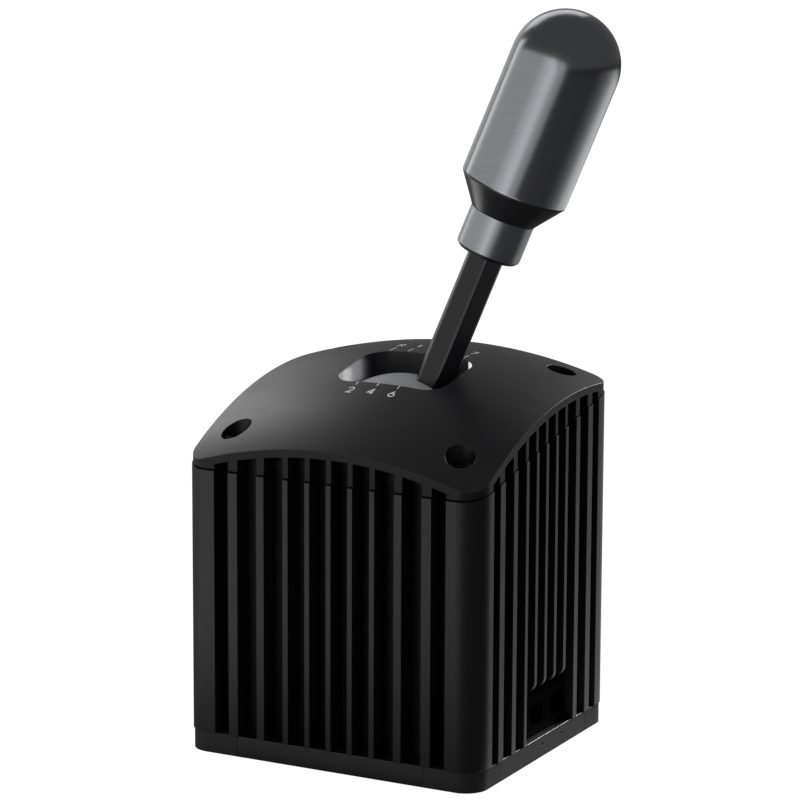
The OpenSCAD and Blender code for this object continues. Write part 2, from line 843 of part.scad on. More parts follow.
// lane detent
module lane_plunger_body() {
  color(c_brass) in_gate() translate([lane_body_x0, lane_plunger_y, 0]) difference() {
    along_x() cylinder(r = lane_body_r, h = lane_body_x1 - lane_body_x0);
    translate([lane_spring_x0 - lane_body_x0, 0, 0]) along_x()
      cylinder(r = lane_pin_shaft_r + run_c, h = lane_body_x1 - lane_spring_x0 + eps);
  }
}
module lane_plunger_spring() {
  color(c_steel) in_gate() translate([lane_spring_x0, lane_plunger_y, 0]) along_x()
    coil(lane_coil_r, lane_wire_r, lane_spring_l, lane_turns);
}
module lane_plunger_pin() {
  color(c_steel) in_gate() translate([0, lane_plunger_y, 0]) {
    translate([lane_spring_x1, 0, 0]) along_x() cylinder(r = lane_pin_shaft_r, h = lane_pin_shaft_l);
    translate([lane_spring_x1 + lane_pin_shaft_l / 2, 0, 0]) along_x()
      cylinder(r = lane_tip_r, h = lane_tip_x - lane_tip_r - lane_spring_x1 - lane_pin_shaft_l / 2);
    translate([lane_tip_x - lane_tip_r, 0, 0]) sphere(r = lane_tip_r);
  }
}
module lane_plate_outline() {
  difference() {
    union() {
      circle(hub_r);
      intersection() {
        circle(lane_sector_r);
        rotate([0, 0, -90])
          polygon([[0, 0], far_at(-lane_plate_half), far_at(0), far_at(lane_plate_half)]);
      }
    }
    circle(lane_pin_r + free_c);
    for (k = [0 : lanes - 1])
      rotate([0, 0, lane_angle(k)]) translate([-lane_notch_at, 0]) circle(lane_notch_r);
  }
}
module lane_detent_plate() {
  color(c_dark_steel) in_lever() difference() {
    translate([0, plate_y1, 0]) rotate([90, 0, 0])
      linear_extrude(height = plate_y1 - plate_y0) lane_plate_outline();
    for (s = [-1, 1])
      translate([0, 0, s * lane_screw_at]) {
        translate([0, plate_y0 - eps, 0]) along_y()
          cylinder(r = tiny_hole_r, h = plate_y1 - plate_y0 + 2 * eps);
        translate([0, plate_y1 - tiny_sink, 0]) along_y()
          cylinder(r = tiny_head_r + seam_c, h = tiny_sink + eps);
      }
  }
}
module detent_plate_screws() {
  color(c_steel) in_lever() for (s = [-1, 1])
    translate([0, plate_y1 - tiny_sink, s * lane_screw_at]) along_y()
      hex_screw(tiny_head_r, tiny_head_h, tiny_r, tiny_l, tiny_key_r);
}

// lever
module lever_hub() {
  color(c_alu) in_lever() difference() {
    union() {
      translate([0, hub_front, 0]) along_y() cylinder(r = hub_r, h = hub_back - hub_front);
      intersection() {
        cylinder(r = hub_r, h = hub_top);
        translate([-hub_r - eps, -hub_r - eps, 0])
          cube([2 * hub_r + 2 * eps, hub_r + eps + hub_back, hub_top]);
      }
      translate([0, 0, tail_end]) cylinder(r = tail_r, h = -tail_end);
    }
    translate([0, hub_front - eps, 0]) along_y()
      cylinder(r = hub_bush_r + press_c, h = hub_back - hub_front + 2 * eps);
    translate([0, 0, socket_z]) cylinder(r = rod_r + press_c, h = hub_top, $fn = 6);
    translate([0, 0, tail_end - eps]) cylinder(r = gate_pin_r + press_c, h = gate_pin_top - tail_end + eps);
    for (s = [-1, 1])
      translate([0, hub_back - tiny_bore, s * lane_screw_at]) along_y()
        cylinder(r = tiny_r + press_c, h = tiny_bore + eps);
    translate([-hub_r - eps, 0, rod_pin_z]) along_x()
      cylinder(r = rod_pin_r + press_c, h = 2 * hub_r + 2 * eps);
  }
}
module lane_bushes() {
  color(c_bronze) in_lever() for (y = [hub_front, hub_back - hub_bush_l])
    translate([0, y, 0]) along_y() difference() {
      cylinder(r = hub_bush_r, h = hub_bush_l);
      translate([0, 0, -eps]) cylinder(r = lane_pin_r + run_c, h = hub_bush_l + 2 * eps);
    }
}
module lever_rod() {
  color(c_black) in_lever() difference() {
    union() {
      translate([0, 0, socket_z]) cylinder(r = rod_r, h = rod_top - socket_z, $fn = 6);
      translate([0, 0, rod_top - 1]) cylinder(r = stud_r, h = stud_top - rod_top + 1);
    }
    translate([-hub_r, 0, rod_pin_z]) along_x() cylinder(r = rod_pin_r + press_c, h = 2 * hub_r);
  }
}
module rod_cross_pin() {
  color(c_steel) in_lever()
    translate([-hub_r + rod_pin_set, 0, rod_pin_z]) along_x()
      cylinder(r = rod_pin_r, h = 2 * (hub_r - rod_pin_set));
}
module dust_shield() {
  color(c_gun) in_lever() difference() {
    union() {
      rotate_extrude($fn = 180) intersection() {
        difference() {
          circle(shield_r, $fn = 180);
          circle(shield_r - shield_t, $fn = 180);
        }
        mirror([0, 1]) polygon([[0, 0], far_at(shield_angle), [far, -2 * far], [0, -2 * far]]);
      }
      intersection() {
        translate([0, 0, hub_top]) cylinder(r = hub_r, h = shield_r - hub_top);
        sphere(r = shield_r - shield_t / 2, $fn = 180);
      }
    }
    cylinder(r = rod_r + press_c, h = 2 * shield_r, $fn = 6);
    translate([0, rod_af / 2 - eps, shield_grub_z]) along_y() cylinder(r = grub_r + press_c, h = hub_r);
  }
}
module shield_grub_screw() {
  color(c_steel) in_lever() translate([0, rod_af / 2 + press_c, shield_grub_z]) along_y()
    grub_screw(shield_grub_l);
}
module gate_pin() {
  color(c_steel) in_lever()
    translate([0, 0, gate_pin_end]) cylinder(r = gate_pin_r, h = gate_pin_top - gate_pin_end);
}
module magnet_cup() {
  color(c_dark_steel) in_lever() difference() {
    translate([0, 0, cup_bottom]) cylinder(r = cup_r, h = cup_top - cup_bottom);
    translate([0, 0, gate_pin_end]) cylinder(r = gate_pin_r + press_c, h = cup_top - gate_pin_end + eps);
    translate([0, 0, cup_bottom - eps]) cylinder(r = magnet_r + press_c, h = magnet_top - cup_bottom + eps);
  }
}
module tail_magnet() {
  color(c_steel) in_lever()
    translate([0, 0, cup_bottom + magnet_set])
      cylinder(r = magnet_r, h = magnet_top - cup_bottom - magnet_set);
}

// knob
module knob_collar() {
  chamfer = 1.3;
  color(c_gun) in_lever() difference() {
    translate([0, 0, collar_z0]) rotate_extrude()
      polygon([[0, 0], [collar_r - chamfer, 0], [collar_r, chamfer], [collar_r, collar_l], [0, collar_l]]);
    translate([0, 0, collar_z0 - eps])
      cylinder(r = rod_r + press_c, h = rod_top - collar_z0 + eps, $fn = 6);
    translate([0, 0, rod_top - eps]) cylinder(r = stud_r + press_c, h = collar_l);
    translate([0, rod_af / 2 - eps, collar_z0 + collar_grub_z]) along_y()
      cylinder(r = grub_r + press_c, h = collar_r);
  }
}
module collar_grub_screw() {
  color(c_dark_steel) in_lever() translate([0, rod_af / 2 + press_c, collar_z0 + collar_grub_z]) along_y()
    grub_screw(collar_grub_l);
}
module knob_base() {
  lip = 0.5;
  side = 0.2;
  color(c_black) in_lever() difference() {
    translate([0, 0, collar_z0 + collar_l]) rotate_extrude()
      polygon([[0, 0], [collar_r + 0.1, 0], [knob_r - side, taper_l - lip],
        [knob_r - side, taper_l], [0, taper_l]]);
    translate([0, 0, collar_z0]) cylinder(r = stud_r + press_c, h = collar_l + taper_l + eps);
  }
}
module knob_insert() {
  color(c_brass) in_lever() difference() {
    translate([0, 0, knob_z0]) cylinder(r = insert_r, h = stud_l + insert_over);
    translate([0, 0, knob_z0 - eps]) cylinder(r = stud_r + press_c, h = stud_l + 2 * eps);
  }
}
module knob_body() {
  edge = 0.6;
  color(c_gun) in_lever() translate([0, 0, knob_z0]) difference() {
    rotate_extrude() {
      polygon([[0, 0], [knob_r - edge, 0], [knob_r, edge],
        [knob_r, knob_l - knob_r], [0, knob_l - knob_r]]);
      intersection() {
        translate([0, knob_l - knob_r]) circle(knob_r);
        translate([0, knob_l - knob_r]) square([knob_r, knob_r]);
      }
    }
    translate([0, 0, -eps]) cylinder(r = insert_r + press_c, h = stud_l + insert_over + eps);
  }
}

// port, board and sensors
module port_panel() {
  wall_x = half_w - fin_depth;
  color(c_black) difference() {
    union() {
      translate([wall_x, win_y0 + seam_c, base_h])
        cube([flange_t, win_y1 - win_y0 - 2 * seam_c, win_z - base_h - seam_c]);
      translate([wall_x, panel_y[0], panel_z[0]])
        cube([panel_front - wall_x, panel_y[1] - panel_y[0], panel_z[1] - panel_z[0]]);
    }
    // pocket for the sockets, then one opening for each
    translate([wall_x - eps, port_y[0] - socket_w / 2 - seam_c, socket_z0 - seam_c])
      cube([socket_x1 - wall_x + eps + press_c, port_y[1] - port_y[0] + socket_w + 2 * seam_c,
        board_z - socket_z0 + 2 * seam_c]);
    for (y = port_y)
      translate([wall_x, y - port_w / 2, port_z - port_h / 2]) cube([fin_depth, port_w, port_h]);
    for (z = panel_screw_z)
      translate([wall_x - eps, panel_screw_y, z]) along_x()
        cylinder(r = small_hole_r, h = flange_t + 2 * eps);
  }
}
module panel_screws() {
  color(c_dark_steel) for (z = panel_screw_z)
    translate([half_w - fin_depth + flange_t, panel_screw_y, z]) along_x()
      hex_screw(panel_head_r, panel_head_h, small_r - press_c, flange_t + wall_t, panel_key_r);
}
module link_socket(y) {
  difference() {
    translate([socket_x0, y - socket_w / 2, socket_z0])
      cube([socket_x1 - socket_x0, socket_w, board_z - socket_z0]);
    translate([socket_x1 - port_deep, y - port_w / 2, port_z - port_h / 2])
      cube([port_deep + eps, port_w, port_h]);
  }
}
module link_socket_front() {
  color(c_cover) link_socket(port_y[0]);
}
module link_socket_rear() {
  color(c_cover) link_socket(port_y[1]);
}
module socket_contacts() {
  color(c_gold) for (y = port_y, k = [0 : contact_n - 1])
    let (row = (k - (contact_n - 1) / 2) * contact_pitch)
      translate([socket_x1 - port_deep, y + row - contact_w / 2, port_z + port_h / 2 - contact_h])
        cube([port_deep - contact_back, contact_w, contact_h]);
}
module sensor_board() {
  color(c_board) difference() {
    translate([0, 0, board_z]) linear_extrude(height = board_t) {
      square([2 * board_half_x, 2 * board_half_y], center = true);
      translate([0, board_tongue[0]]) square([board_tongue_x, board_tongue[1] - board_tongue[0]]);
    }
    corners() translate([standoff_x, standoff_y, board_z - eps])
      cylinder(r = small_hole_r, h = board_t + 2 * eps);
  }
}
module hall_sensor(at) {
  translate([at[0] - hall_w / 2, at[1] - hall_d / 2, board_z + board_t]) cube([hall_w, hall_d, hall_h]);
}
module hall_sensors() {
  // one under each gear: five on the far side of the pattern, three on the near side
  color(c_black) {
    for (k = [0 : lanes - 1]) hall_sensor(tail_xy(lane_angle(k), throw));
    for (k = [1 : lanes - 2]) hall_sensor(tail_xy(lane_angle(k), -throw));
  }
}
module control_chip() {
  color(c_black) translate([chip_x, chip_y, board_z + board_t]) cube([chip_w, chip_w, chip_h]);
}
module board_standoffs() {
  color(c_brass) corners() translate([standoff_x, standoff_y, base_h]) difference() {
    union() {
      cylinder(r = standoff_r, h = board_z - base_h, $fn = 6);
      translate([0, 0, -standoff_stud_l]) cylinder(r = standoff_stud_r, h = standoff_stud_l + eps);
    }
    translate([0, 0, board_z - base_h - board_screw_l])
      cylinder(r = small_r + press_c, h = board_screw_l + eps);
  }
}
module board_screws() {
  color(c_steel) corners()
    translate([standoff_x, standoff_y, board_z + board_t])
      hex_screw(small_head_r, small_head_h, small_r, board_screw_l, small_key_r);
}

finned_housing();
top_cover();
cover_screws();
base_plate();
corner_feet();
base_screws();
left_side_plate();
right_side_plate();
frame_screws();
tie_bars();
tie_screws();
trunnion_bushes();
gate_plate();
shift_plunger_body();
plunger_lock_nut();
shift_plunger_spring();
shift_plunger_pin();
port_panel();
panel_screws();
link_socket_front();
link_socket_rear();
socket_contacts();
sensor_board();
hall_sensors();
control_chip();
board_standoffs();
board_screws();
shift_cradle();
trunnion_pins();
shift_detent_sector();
sector_screws();
lane_pin();
lane_pin_clips();
lane_thrust_washers();
lane_plunger_body();
lane_plunger_spring();
lane_plunger_pin();
lever_hub();
lane_bushes();
lane_detent_plate();
detent_plate_screws();
lever_rod();
rod_cross_pin();
dust_shield();
shield_grub_screw();
gate_pin();
magnet_cup();
tail_magnet();
knob_collar();
collar_grub_screw();
knob_base();
knob_insert();
knob_body();
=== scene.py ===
# %% [markdown]
# # Dressing a sim racing gear shifter
# The solids of this shifter are already built and packed: a finned body, a domed cover, a lever and
# the mechanism inside. This lesson dresses them for a studio picture. It loads the solids as a fixed
# frame, places the camera and makes one finish for each real material. It then replaces or adds the few
# pieces whose edges and print the eye looks at most, and lights them all.

# %% Load the frame
import json
import math

import bmesh
import bpy
import numpy as np
from mathutils import Matrix, Vector


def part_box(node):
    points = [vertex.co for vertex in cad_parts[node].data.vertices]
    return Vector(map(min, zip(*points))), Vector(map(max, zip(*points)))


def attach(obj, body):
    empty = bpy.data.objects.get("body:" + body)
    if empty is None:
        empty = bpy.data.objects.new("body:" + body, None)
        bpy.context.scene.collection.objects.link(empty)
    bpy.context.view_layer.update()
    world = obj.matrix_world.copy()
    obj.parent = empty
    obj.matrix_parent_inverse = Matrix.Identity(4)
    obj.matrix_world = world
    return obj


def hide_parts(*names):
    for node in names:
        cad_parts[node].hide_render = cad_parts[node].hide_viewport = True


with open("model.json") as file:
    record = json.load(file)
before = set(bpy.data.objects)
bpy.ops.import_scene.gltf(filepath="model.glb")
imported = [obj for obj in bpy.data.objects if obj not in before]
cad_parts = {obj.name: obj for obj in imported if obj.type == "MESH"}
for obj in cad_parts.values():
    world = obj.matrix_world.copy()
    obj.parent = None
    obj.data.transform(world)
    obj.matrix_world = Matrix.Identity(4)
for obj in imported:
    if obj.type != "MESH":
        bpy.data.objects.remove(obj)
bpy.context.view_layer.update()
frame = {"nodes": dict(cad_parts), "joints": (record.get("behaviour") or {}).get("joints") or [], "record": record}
nodes = frame["nodes"]
MM = 0.001


def in_mm(lengths):
    """Lengths in metres as rounded millimetres, for printing."""
    return [round(length / MM, 1) for length in lengths]


# %% [markdown]
# ## Camera
# The picture is taken from the front right, a little above the cover, through a long lens, so the
# upright edges stay nearly parallel. The angles below were fitted to the corners of the body. A camera
# could also be aimed with a Track To constraint, but a matrix built from its three axes is exact.

# %% Place the camera
VIEW_TURN = math.radians(27.72)
VIEW_RISE = math.radians(12.36)
VIEW_ROLL = math.radians(-0.25)
VIEW_DISTANCE = 1441.4 * MM
VIEW_LENS = 177.33
AIM_HEIGHT = 126.2 * MM
AIM_SIDE = -0.18 * MM
AIM_UP = 0.6 * MM

view_back = Vector((math.sin(VIEW_TURN) * math.cos(VIEW_RISE),
                    -math.cos(VIEW_TURN) * math.cos(VIEW_RISE), math.sin(VIEW_RISE)))
view_right = Vector((math.cos(VIEW_TURN), math.sin(VIEW_TURN), 0))
view_up = view_back.cross(view_right)
aim = Vector((0, 0, AIM_HEIGHT)) + AIM_SIDE * view_right + AIM_UP * view_up
turned = Matrix((view_right, view_up, view_back)).transposed() @ Matrix.Rotation(-VIEW_ROLL, 3, "Z")

camera = bpy.data.objects.new("camera", bpy.data.cameras.new("camera"))
camera.data.lens = VIEW_LENS
camera.matrix_world = Matrix.Translation(aim + VIEW_DISTANCE * view_back) @ turned.to_4x4()
bpy.context.scene.collection.objects.link(camera)
bpy.context.scene.camera = camera
print("camera at", in_mm(camera.matrix_world.translation), "mm, lens", VIEW_LENS)

# %% [markdown]
# ## Node helper and colours
# Every finish below is a small tree of shader nodes. One function adds a node, sets its values and
# links its inputs, so a finish reads as a list of what feeds what. Colours are written as the sRGB hex
# values a person would pick from a chart, and one function turns them into the linear light that the
# renderer counts in.

# %% Helpers for finishes
def linear(code):
    """sRGB hex code to linear RGBA: c / 12.92 near black, else ((c + 0.055) / 1.055) to the power 2.4."""
    c = np.array([int(code[i:i + 2], 16) for i in (1, 3, 5)]) / 255
    light = np.where(c <= 0.04045, c / 12.92, ((c + 0.055) / 1.055) ** 2.4)
    return (*light.tolist(), 1.0)


def feed(tree, node, links):
    """Links inputs of a node to the outputs that feed them."""
    for key, source in links.items():
        tree.links.new(source, node.inputs[key])


def add_node(tree, kind, settings=None, values=None, links=None):
    """Adds one node: settings are its own properties, values its input sockets, links input to output."""
    node = tree.nodes.new(kind)
    for key, value in (settings or {}).items():
        setattr(node, key, value)
    for key, value in (values or {}).items():
        node.inputs[key].default_value = value
    feed(tree, node, links or {})
    return node


def new_finish(name):
    """An empty material with a Principled shader and Object coordinates."""
    finish = bpy.data.materials.new(name)
    finish.use_nodes = True
    tree = finish.node_tree
    tree.nodes.clear()
    shader = add_node(tree, "ShaderNodeBsdfPrincipled")
    add_node(tree, "ShaderNodeOutputMaterial", links={"Surface": shader.outputs["BSDF"]})
    place = add_node(tree, "ShaderNodeTexCoord").outputs["Object"]
    return finish, tree, shader, place


def per_metre(millimetres):
    """Noise scale whose blotches are about this many millimetres apart."""
    return 1 / (millimetres * MM)


print("mid grey is", [round(c, 3) for c in linear("#808080")])

# %% [markdown]
# ## Grained finishes
# Most of this object is a dark, fine-grained surface: blasted and anodised aluminium, moulded plastic,
# rubber. They differ in colour, gloss and grain size, so one function makes them all. A slow noise
# shifts the colour and the gloss a little, as handling and moulding do, and a fine noise makes the
# grain as a bump. The real grain is 0.05 to 0.1 mm, too fine to show in the picture, so it is drawn a
# few times coarser.
#
# No real edge is perfectly sharp: dies, moulds and tumblers round it, and that thin round is what
# catches the light along the fins and the base. A Bevel modifier could cut it, but the many small holes
# in these solids hold it back to almost nothing. So the finish itself bends the surface normal near an
# edge, which leaves the solids as they are.

# %% A grained finish
GRAIN_SHARE = 0.35
GRAIN_SWING = 0.05
GRAIN_DEPTH = 0.02 * MM
EDGE_SAMPLES = 8


def grained(name, colour, colour_high, roughness, grain_mm, bump, specular=0.5, cloud_mm=14, edge_mm=0):
    """Slow noise mixes the two colours and swings the roughness; fine noise is the grain's height.

    Edges look rounded by edge_mm.
    """
    finish, tree, shader, place = new_finish(name)
    cloud = add_node(tree, "ShaderNodeTexNoise", values={"Scale": per_metre(cloud_mm), "Detail": 3},
                     links={"Vector": place})
    grain = add_node(tree, "ShaderNodeTexNoise", values={"Scale": per_metre(grain_mm), "Detail": 2},
                     links={"Vector": place})
    both = add_node(tree, "ShaderNodeMath", {"operation": "MULTIPLY_ADD"}, {1: GRAIN_SHARE},
                    {0: grain.outputs["Fac"], 2: cloud.outputs["Fac"]})
    tint = add_node(tree, "ShaderNodeMix", {"data_type": "RGBA"},
                    {"A": linear(colour), "B": linear(colour_high)}, {"Factor": both.outputs["Value"]})
    rough = add_node(tree, "ShaderNodeMapRange",
                     values={"To Min": roughness - GRAIN_SWING, "To Max": roughness + GRAIN_SWING},
                     links={"Value": both.outputs["Value"]})
    relief = add_node(tree, "ShaderNodeBump", values={"Strength": bump, "Distance": GRAIN_DEPTH},
                      links={"Height": grain.outputs["Fac"]})
    if edge_mm:
        edge = add_node(tree, "ShaderNodeBevel", {"samples": EDGE_SAMPLES}, {"Radius": edge_mm * MM})
        feed(tree, relief, {"Normal": edge.outputs["Normal"]})
    feed(tree, shader, {"Base Color": tint.outputs["Result"], "Roughness": rough.outputs["Result"],
                        "Normal": relief.outputs["Normal"]})
    shader.inputs["Specular IOR Level"].default_value = specular
    return finish


print("a grain of 0.45 mm has", round(per_metre(0.45)), "waves to the metre")

# %% Grained finishes of the shifter
# blasted black anodising on the extruded body: deep black with a soft, even sheen
body_anodised = grained("black_anodised_extrusion", "#0e0e0f", "#161618",
                        roughness=0.44, grain_mm=0.45, bump=0.25, edge_mm=0.25)
# spark-textured black ABS of the cover: a broad, smooth sheen that fades slowly over the dome
cover_abs = grained("satin_black_abs", "#151418", "#1d1c21",
                    roughness=0.36, grain_mm=0.5, bump=0.15, edge_mm=0.3)
# black anodising on the base plate: a plain dark strip with a thin bright line along its upper edge
base_anodised = grained("black_anodised_plate", "#161617", "#1f1f21",
                        roughness=0.36, grain_mm=0.45, bump=0.25, edge_mm=0.35)
# moulded elastomer of the corner feet: a dull black that spreads the light wide
foot_elastomer = grained("black_elastomer", "#151515", "#202021",
                         roughness=0.62, grain_mm=0.7, bump=0.5, edge_mm=0.4)
# moulded nylon of the port panel and the sockets: a flat black that keeps the cable window dark
port_nylon = grained("moulded_black_nylon", "#0c0c0c", "#131314",
                     roughness=0.7, grain_mm=0.5, bump=0.2, specular=0.06, edge_mm=0.2)
# turned acetal of the ball-shaped dust shield: a pale, even grey
shield_acetal = grained("grey_acetal", "#aeafb1", "#b8b9bb",
                        roughness=0.4, grain_mm=0.6, bump=0.12)
# anodised hexagonal bar of the lever: each flat shows its own dark grey, each corner a thin line
rod_anodised = grained("black_anodised_bar", "#0e0e11", "#161619",
                       roughness=0.27, grain_mm=0.4, bump=0.1, specular=0.3)
# moulded epoxy of the chips: a plain black with no more than a soft shine
chip_epoxy = grained("black_epoxy", "#101010", "#1b1b1b",
                     roughness=0.5, grain_mm=0.3, bump=0.3)
# lacquer over the sensor board: a glossy dark green
board_mask = grained("green_solder_mask", "#0d3a22", "#145032",
                     roughness=0.35, grain_mm=1.2, bump=0.1)
print("grained finishes: from", body_anodised.name, "to", board_mask.name)

# %% [markdown]
# ## The lever's own axes
# The lever leans right and back, and its pieces are turned about its own axis. The frame's lane joint
# gives the pivot, the axis and the range. At rest the lever stands at the right end of that range, so
# it leans by half of it. The angles could be typed in, but read from the frame they follow the solids.

# %% Axes of the lever
lane_joint = next(joint for joint in frame["joints"] if joint["name"] == "lane_select")
pivot = np.array(lane_joint["pos_m"])
lane_axis = np.array(lane_joint["axis"])
lean_right = math.radians(-sum(lane_joint["range_deg"]) / 2)
lean_back = math.asin(-lane_axis[2])
lever_up = np.array([math.sin(lean_right), math.cos(lean_right) * math.sin(lean_back),
                     math.cos(lean_right) * math.cos(lean_back)])
lever_back = lane_axis / np.linalg.norm(lane_axis)
lever_right = np.cross(lever_back, lever_up)
print("lever leans right", round(math.degrees(lean_right), 2), "and back", round(math.degrees(lean_back), 2))

# %% [markdown]
# ## Metal finishes
# The turned and machined pieces are bare or anodised metal. A metal has no colour of its own under the
# reflection, so its look is all in the tint of that reflection and in how sharp it is. Turning leaves
# rings around the axis, and milling leaves straight lines. A noise that is stretched one way draws
# both. Real tool marks are about 0.1 mm apart, too fine to show in the picture, so they are drawn a few
# times coarser.

# %% A machined finish
MARK_SWING = 0.04
MARK_DEPTH = 0.01 * MM


def machined(name, colour, colour_high, roughness, mark_mm, stretch=(1, 1, 1), turn=(0, 0, 0), bump=0.1):
    """A stretched noise draws tool marks: it mixes the tints, swings the roughness and is the bump."""
    finish, tree, shader, place = new_finish(name)
    laid = add_node(tree, "ShaderNodeMapping", values={"Rotation": turn, "Scale": stretch},
                    links={"Vector": place})
    marks = add_node(tree, "ShaderNodeTexNoise", values={"Scale": per_metre(mark_mm), "Detail": 4},
                     links={"Vector": laid.outputs["Vector"]})
    tint = add_node(tree, "ShaderNodeMix", {"data_type": "RGBA"},
                    {"A": linear(colour), "B": linear(colour_high)}, {"Factor": marks.outputs["Fac"]})
    rough = add_node(tree, "ShaderNodeMapRange",
                     values={"To Min": roughness - MARK_SWING, "To Max": roughness + MARK_SWING},
                     links={"Value": marks.outputs["Fac"]})
    relief = add_node(tree, "ShaderNodeBump", values={"Strength": bump, "Distance": MARK_DEPTH},
                      links={"Height": marks.outputs["Fac"]})
    feed(tree, shader, {"Base Color": tint.outputs["Result"], "Roughness": rough.outputs["Result"],
                        "Normal": relief.outputs["Normal"]})
    shader.inputs["Metallic"].default_value = 1.0
    return finish


# turns object coordinates so that the lever's axis becomes Z
along_lever = (lean_back, -lean_right, 0)
# stretches the marks round that axis, or along Y for straight cuts
TURNED = (0.05, 0.05, 1)
MILLED = (1, 0.08, 1)
GROUND = (1, 0.1, 1)
print("rings are drawn", round(1 / TURNED[0]), "times longer than they are wide")

# %% Metal finishes of the shifter
# anodised knob: a dark mirror with faint rings, which draws the panels as long soft bands
knob_metal = machined("gunmetal_anodised_knob", "#77787c", "#808185",
                      roughness=0.21, mark_mm=0.6, stretch=TURNED, turn=along_lever, bump=0.02)
# turned collar: the same grey with stronger rings, so that its bands are softer
collar_metal = machined("gunmetal_turned_collar", "#7c7d81", "#8b8c90",
                        roughness=0.3, mark_mm=0.5, stretch=TURNED, turn=along_lever, bump=0.06)
# milled side plates, cradle and hub: pale silver with straight cutter marks
alloy_milled = machined("milled_aluminium", "#b4b6ba", "#c6c8cb",
                        roughness=0.34, mark_mm=0.8, stretch=MILLED)
# ground pins, bars and springs: a cooler, darker silver with finer marks
steel_ground = machined("ground_steel", "#9a9da1", "#b0b3b7",
                        roughness=0.28, mark_mm=0.5, stretch=GROUND)
# hardened notched plates, clips and cup: the dark grey that heat treatment leaves
steel_hard = machined("hardened_steel", "#4a4b4f", "#5b5c60",
                      roughness=0.32, mark_mm=0.6)
# blackened screws: almost black, with an oily shine
steel_black = machined("black_oxide_steel", "#232325", "#303033",
                       roughness=0.36, mark_mm=0.7)
# pressed bushes and washers: a dull brown with open grains
bronze = machined("sintered_bronze", "#9c7647", "#b08a58",
                  roughness=0.42, mark_mm=0.35)
# turned plunger bodies, standoffs and insert: a bright, warm yellow
brass = machined("turned_brass", "#b99a55", "#cdb06c",
                 roughness=0.24, mark_mm=0.5)
# thin gold on the contacts: a clear, deep yellow mirror
gold_flash = machined("gold_flash", "#d8b45a", "#e6c878",
                      roughness=0.2, mark_mm=0.4)
# plating on the magnet: the clearest silver mirror of all
nickel = machined("nickel_plate", "#b4b4b0", "#c4c4c0",
                  roughness=0.16, mark_mm=0.8)
print("turned finishes:", knob_metal.name, "and", collar_metal.name)

# %% [markdown]
# ## Gloss and ink
# Two finishes are smooth: the polished black taper under the knob, and the white ink of the gear
# pattern. The taper gets a faint waviness so that its reflections aren't those of a mirror. The ink is
# matt and a little uneven, as pad printing is.

# %% Gloss and ink
POLISH_WAVE_MM = 9
POLISH_ROUGHNESS = (0.24, 0.32)


def smooth_black(name, colour, colour_high):
    """Polished acrylic: a slow noise gives the slight waviness of hand polishing."""
    finish, tree, shader, place = new_finish(name)
    wave = add_node(tree, "ShaderNodeTexNoise", values={"Scale": per_metre(POLISH_WAVE_MM), "Detail": 2},
                    links={"Vector": place})
    rough = add_node(tree, "ShaderNodeMapRange",
                     values={"To Min": POLISH_ROUGHNESS[0], "To Max": POLISH_ROUGHNESS[1]},
                     links={"Value": wave.outputs["Fac"]})
    tint = add_node(tree, "ShaderNodeMix", {"data_type": "RGBA"},
                    {"A": linear(colour), "B": linear(colour_high)}, {"Factor": wave.outputs["Fac"]})
    feed(tree, shader, {"Roughness": rough.outputs["Result"], "Base Color": tint.outputs["Result"]})
    return finish


# polished acrylic taper: a deep black with one clear, soft-edged reflection
taper_gloss = smooth_black("polished_black_acrylic", "#202022", "#29292b")
# pad-printed ink: a matt white whose density varies a little
white_ink = grained("white_pad_print", "#bdbdbd", "#e2e2e2",
                    roughness=0.6, grain_mm=0.4, bump=0.2, cloud_mm=1.5)
print("gloss and ink:", taper_gloss.name, "and", white_ink.name)

# %% [markdown]
# ## Hand out the finishes
# Each solid names its material slot in the record, so one table from slot to finish dresses them all,
# inside pieces too. Materials could be set piece by piece, but a table leaves none out.

# %% Dress the solids
finish_of = {
    "body_black": body_anodised, "cover_black": cover_abs, "base_black": base_anodised,
    "foot_rubber": foot_elastomer, "black_screw": steel_black, "steel": steel_ground,
    "dark_steel": steel_hard, "aluminium": alloy_milled, "bronze": bronze, "brass": brass,
    "board_green": board_mask, "chip_black": chip_epoxy, "socket_black": port_nylon,
    "gold_contact": gold_flash, "shield_grey": shield_acetal, "rod_black": rod_anodised,
    "collar_gunmetal": collar_metal, "knob_gunmetal": knob_metal, "knob_gloss_black": taper_gloss,
    "magnet": nickel,
}
slot_of = {row["node"]: row["material_slot"] for row in frame["record"]["subparts"]}
for name, solid in nodes.items():
    solid.material_slots[0].material = finish_of[slot_of[name]]
print("dressed", len(nodes), "solids in", len(set(slot_of.values())), "finishes")

# %% [markdown]
# ## Tools for the lever's turned pieces
# Collar, taper and knob are turned on a lathe, so each is a profile carried round the lever's axis.
# The solids have the same profiles with plain chamfers. New surfaces are made here because the knob's
# long, sharp reflections show every facet, and because the small rounds at the seams catch the light.
# The sizes are measured on the solids.

# %% Measure a solid along the lever
def lever_reach(name):
    """Lowest and highest point of a solid along the lever from the pivot, and its largest radius."""
    co = np.empty(len(nodes[name].data.vertices) * 3, np.float32)
    nodes[name].data.vertices.foreach_get("co", co)
    off = co.reshape(-1, 3) - pivot
    height = off @ lever_up
    radius = np.linalg.norm(off - height[:, None] * lever_up, axis=1)
    return float(height.min()), float(height.max()), float(radius.max())


print("knob: low end, high end and radius in mm:", in_mm(lever_reach("knob_body")))

